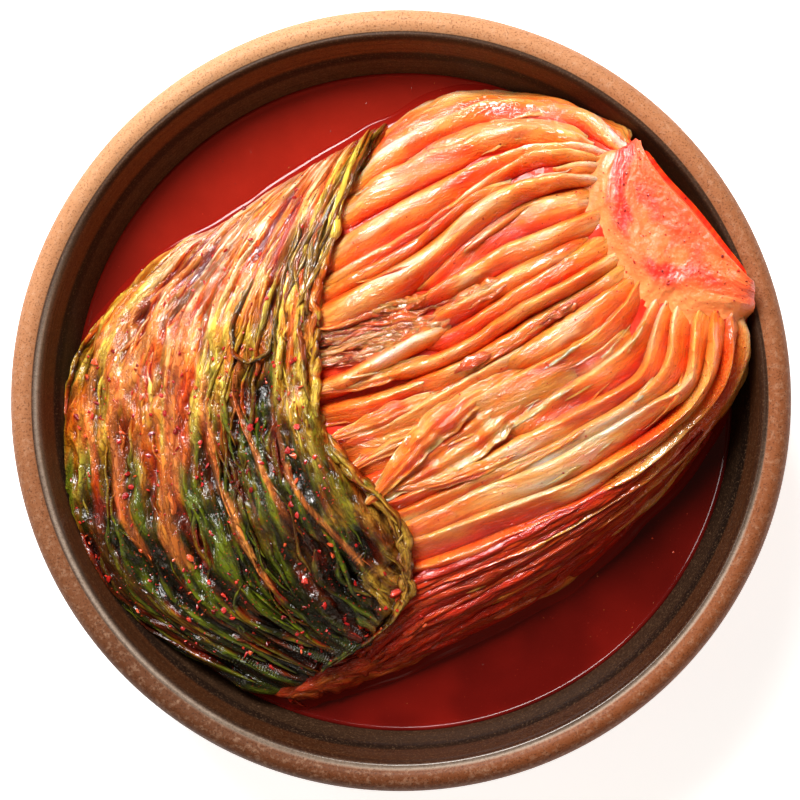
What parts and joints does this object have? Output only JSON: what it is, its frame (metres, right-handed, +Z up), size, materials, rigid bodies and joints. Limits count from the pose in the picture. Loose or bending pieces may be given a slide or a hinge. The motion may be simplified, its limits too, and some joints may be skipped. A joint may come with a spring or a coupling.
{
  "type": "bowl of kimchi",
  "caption": "Halved head of napa cabbage kimchi, cut side up in red brine, its green outer leaves folded over the leafy end, in a wide low stoneware bowl.",
  "frame": {"origin": "centre of the bowl's foot, in the plane it stands on", "axes": "+Z up out of the bowl, +X towards the root end's side of the head, +Y towards the side the outer leaves fold over from"},
  "size_m": [0.28, 0.28, 0.0932],
  "materials": {
    "stoneware": "brown glaze inside, bare speckled clay on rim and outside",
    "brine": "wet deep red liquid",
    "cabbage": "wet, cream to orange red, fibrous",
    "outer_leaf": "wet green leaf with cream and orange veins"
  },
  "bodies": {
    "root": {"bowl": "stoneware", "brine": "brine", "cabbage": "cabbage", "leaf_wrap": "outer_leaf"}
  },
  "joints": []
}
